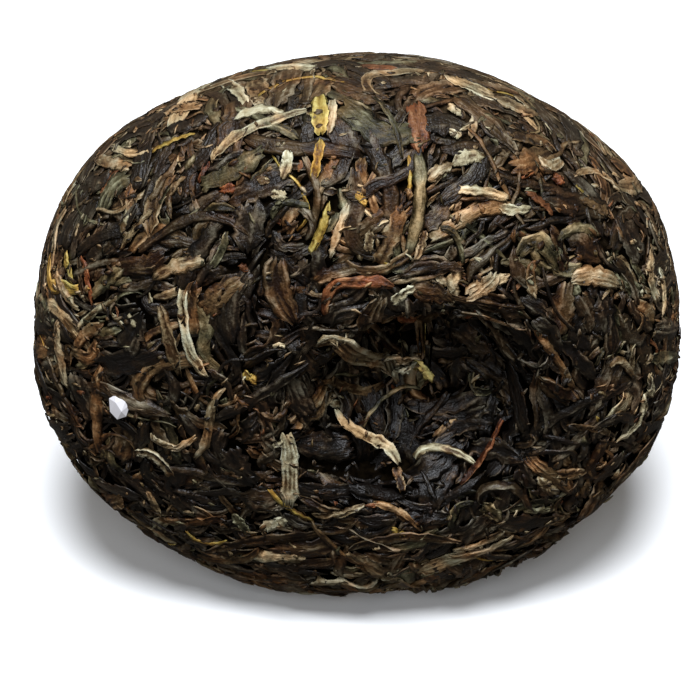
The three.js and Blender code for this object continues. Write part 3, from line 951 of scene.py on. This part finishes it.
def leaf_material(name, gloss, colours):
    material, tree, shader = principled(name, gloss)
    lies_on = {
        "fibre": add_node(tree, "UVMap", uv_map="fibre").outputs[0],
        "place": add_node(tree, "TexCoord").outputs["Object"],
    }
    reads = {key: attribute(tree, key) for key in ("ridge", "tone", "pressed")}
    for key, form in NOISES.items():
        reads[key] = noise(tree, lies_on[form["on"]], form["scale"], form["detail"], form["rough"])
    # painted highlights: small bright dots where the glint noise is strong
    reads["painted_glint"] = maths(tree, "MULTIPLY_ADD", reads["painted_glint"], *PAINTED_GLINTS, clamp=True)
    weave = cloth_weave(tree, lies_on["place"], reads["patch"])
    reads["weave"] = maths(tree, "MULTIPLY", weave, reads["pressed"])

    # painted shade in the grooves, painted highlight on the ridges and glints, with the leaves' tone, patches
    # and grain
    level = PLAIN_LEVEL
    for key, strength in LEVEL_ADDS.items():
        level = maths(tree, "MULTIPLY_ADD", reads[key], strength, level)
    for key, strength in LEVEL_NOISES.items():
        centred = maths(tree, "SUBTRACT", reads[key], NOISE_MIDDLE)
        level = maths(tree, "MULTIPLY_ADD", centred, strength, level)
    evened = maths(tree, "MULTIPLY", reads["pressed"], EVENED)
    level = maths(tree, "MULTIPLY_ADD", maths(tree, "SUBTRACT", EVENED_TO, level), evened, level)

    stained = maths(tree, "MULTIPLY_ADD", reads["stain"], *STAINS, clamp=True)
    tint = mixed(tree, stained, COOL_TINT, WARM_TINT)
    colour = mixed(tree, 1.0, colour_ramp(tree, level, LEVEL_STOPS, colours), tint, "MULTIPLY")
    dusty = maths(tree, "MULTIPLY_ADD", reads["pressed"], 2 * MOST_DUST, -MOST_DUST, clamp=True)
    tree.links.new(mixed(tree, dusty, colour, DUST), shader.inputs["Base Color"])

    plain_roughness = LEAF_ROUGHNESS - GLOSS_SMOOTHS * gloss
    rough = maths(tree, "MULTIPLY_ADD", reads["speck"], SPECK_ROUGHNESS, plain_roughness)
    tree.links.new(rough, shader.inputs["Roughness"])
    relief = reads["wrinkle"]
    for key, height in RELIEF_ADDS.items():
        relief = maths(tree, "MULTIPLY_ADD", reads[key], height, relief)
    bump = add_node(tree, "Bump", {"Height": relief, "Strength": 1.0, "Distance": RELIEF_DEPTH})
    tree.links.new(bump.outputs[0], shader.inputs["Normal"])
    return material


def core_material():
    material, tree, shader = principled("core", gloss=0.0, roughness=CORE_ROUGHNESS)
    place = add_node(tree, "TexCoord").outputs["Object"]
    inputs = {"Vector": place, "Scale": CORE_GRAIN, "Detail": CORE_DETAIL}
    grain = add_node(tree, "TexNoise", inputs).outputs["Fac"]
    ramps = [colour_ramp(tree, grain, CORE_STOPS, colours) for colours in (CORE_LOOSE, CORE_PRESSED)]
    tree.links.new(mixed(tree, attribute(tree, "pressed"), *ramps), shader.inputs["Base Color"])
    bump = add_node(tree, "Bump", {"Height": grain, "Distance": CORE_RELIEF})
    tree.links.new(bump.outputs[0], shader.inputs["Normal"])
    return material


# ---- Building the cake ----
CORE_FINENESS = 6  # subdivisions of the ball that its mesh comes from
CORE_HEART = np.array([NEST_OFFSET[0] / 2, 8, AXIS_HEIGHT])  # rays from here meet the form once
CORE_BALL = np.array([NEST_OFFSET[0] / 3, 2, AXIS_HEIGHT])  # the middle of the ball they go through
CORE_STEP = 0.3
CORE_STEPS = 160
CORE_SUNK = 0.2  # below the deepest leaves
CORE_RISE = 0.5  # how far it rises for each 1 that looseness is below the next value
CORE_RISE_BELOW = 0.5


def own(piece, material):
    piece.data.materials.append(material)
    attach(piece, "root")
    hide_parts("tuocha")


def core_height(p):
    """The core's height over the form: below the leaves that show."""
    return deepest(p) - CORE_SUNK + CORE_RISE * np.maximum(CORE_RISE_BELOW - looseness(p), 0)


def make_core():
    bpy.ops.mesh.primitive_ico_sphere_add(subdivisions=CORE_FINENESS, radius=1)
    ball = bpy.context.object
    directions = np.array([v.co for v in ball.data.vertices])
    faces = [list(f.vertices) for f in ball.data.polygons]
    bpy.data.objects.remove(ball)
    rays = unit(directions * (RADIUS, HEIGHT / 2, RADIUS) + CORE_BALL - CORE_HEART)
    far = np.zeros(len(rays))
    for _ in range(CORE_STEPS):
        p = CORE_HEART + rays * far[:, None]
        far = far + CORE_STEP * (form_field(p) < core_height(p))
    surface = flatten_on_floor(CORE_HEART + rays * far[:, None])
    core = make_mesh("core", surface, faces, {"pressed": np.maximum(1 - 2 * looseness(surface), 0)})
    own(core, core_material())


def lay_leaves():
    """Lays the landmark leaves, then all others, and returns them grouped by shape."""
    packing = Packing()
    groups = {name: Group(shape) for name, shape in SHAPES.items()}
    lay_landmarks(groups, packing)
    for name, *batch in BATCHES:
        scatter(groups[name], packing, *batch)
    sprinkle(groups["crumb"], packing, CRUMB_COUNT)
    return groups


def make_kind(kind, groups):
    """One piece out of all leaves of a kind."""
    form = KINDS[kind]
    vertices, uvs, values, faces = [], [], [], []
    first = 0
    for group in groups.values():
        leaves = [leaf for leaf in group.leaves if leaf.kind == kind]
        if not leaves:
            continue
        p, uv, read = leaf_vertices(group, leaves)
        faces += ring_faces(len(leaves), p.shape[1], len(group.across), first)
        first += p.size // 3
        vertices.append(p.reshape(-1, 3))
        uvs.append(uv.reshape(-1, 2))
        values.append(read)
    joined = {key: np.concatenate([v[key].ravel() for v in values]) for key in values[0]}
    piece = make_mesh(form["piece"], np.concatenate(vertices), faces, joined, np.concatenate(uvs))
    material = leaf_material(form["piece"], form["gloss"], form["colours"])
    own(piece, material)


# ---- The white chip ----
CHIP_PIXEL = (121, 405)  # of the photo
CHIP_TURN = 1.5  # how far it is turned towards the viewer, out of the leaves' plane
CHIP_COLOUR = (0.45, 0.44, 0.45, 1)
# Its corners in mm: to the right, up and out from the face. The inner ones are hidden among the leaves.
CHIP_CORNERS = (
    (-1.3, 1.0, 0.6), (-0.5, 1.5, 0.7), (1.0, 1.3, 0.7), (1.3, 0.3, 0.5),
    (0.8, -1.2, 0.6), (-0.3, -1.6, 0.7), (-1.2, -0.7, 0.6), (-0.3, 0.7, 1.3),
    (0.4, -0.4, 1.3), (-0.9, 0.9, -0.7), (0.9, 0.9, -0.7), (0.0, -1.3, -0.7),
)


def make_chip():
    """The small white chip stuck to the left of the face: a flat pebble with facets."""
    middle = under_pixels([CHIP_PIXEL])[0]
    normal = unit(normal_at(middle) + CHIP_TURN * TO_EYE)
    across = unit(VIEW_RIGHT - normal * (VIEW_RIGHT @ normal))
    ahead = np.cross(normal, across)
    shell = bmesh.new()
    for u, v, height in CHIP_CORNERS:
        shell.verts.new((middle + across * u + ahead * v + normal * height) * MM)
    bmesh.ops.convex_hull(shell, input=shell.verts)
    mesh = bpy.data.meshes.new("white_chip")
    shell.to_mesh(mesh)
    shell.free()
    material, _, shader = principled("white_chip")
    shader.inputs["Base Color"].default_value = CHIP_COLOUR
    own(new_object("white_chip", mesh), material)


# ---- Stage: lengths are in metres here ----
FLOOR_SIZE = 4
FLOOR_COLOUR = (0.82, 0.82, 0.81, 1)
FLOOR_ROUGHNESS = 0.7
LIT_POINT = (0, 0, 0.04)
# Soft panels: their place, size, and energy in watts.
PANELS = (
    ("top_panel", (0.0, -0.22, 0.77), 0.28, 12.0),
    ("front_panel", (-0.05, -0.50, 0.55), 0.30, 1.6),
)
PANEL_COLOUR = (0.96, 1.0, 1.07)
SKY_STRENGTH = 0.14
SKY_COLOUR = (1.0, 0.91, 0.79, 1)


def make_floor():
    bpy.ops.mesh.primitive_plane_add(size=FLOOR_SIZE)
    floor = bpy.context.object
    floor.name = "floor"
    material, _, shader = principled("floor", roughness=FLOOR_ROUGHNESS)
    shader.inputs["Base Color"].default_value = FLOOR_COLOUR
    floor.data.materials.append(material)
    floor.visible_diffuse = False
    floor.visible_glossy = False


def make_lights():
    for name, place, size, energy in PANELS:
        light = bpy.data.lights.new(name, "AREA")
        light.shape = "DISK"
        light.size = size
        light.energy = energy
        light.color = PANEL_COLOUR
        panel = new_object(name, light)
        panel.location = place
        panel.rotation_euler = (Vector(LIT_POINT) - panel.location).to_track_quat("-Z", "Y").to_euler()

    world = bpy.data.worlds.new("room")
    bpy.context.scene.world = world
    world.use_nodes = True
    background = world.node_tree.nodes["Background"]
    background.inputs["Color"].default_value = SKY_COLOUR
    background.inputs["Strength"].default_value = SKY_STRENGTH
    bpy.context.scene.view_settings.view_transform = "Standard"


make_camera()
make_core()
leaf_groups = lay_leaves()
for kind_name in KIND_NAMES:
    make_kind(kind_name, leaf_groups)
make_chip()
make_floor()
make_lights()
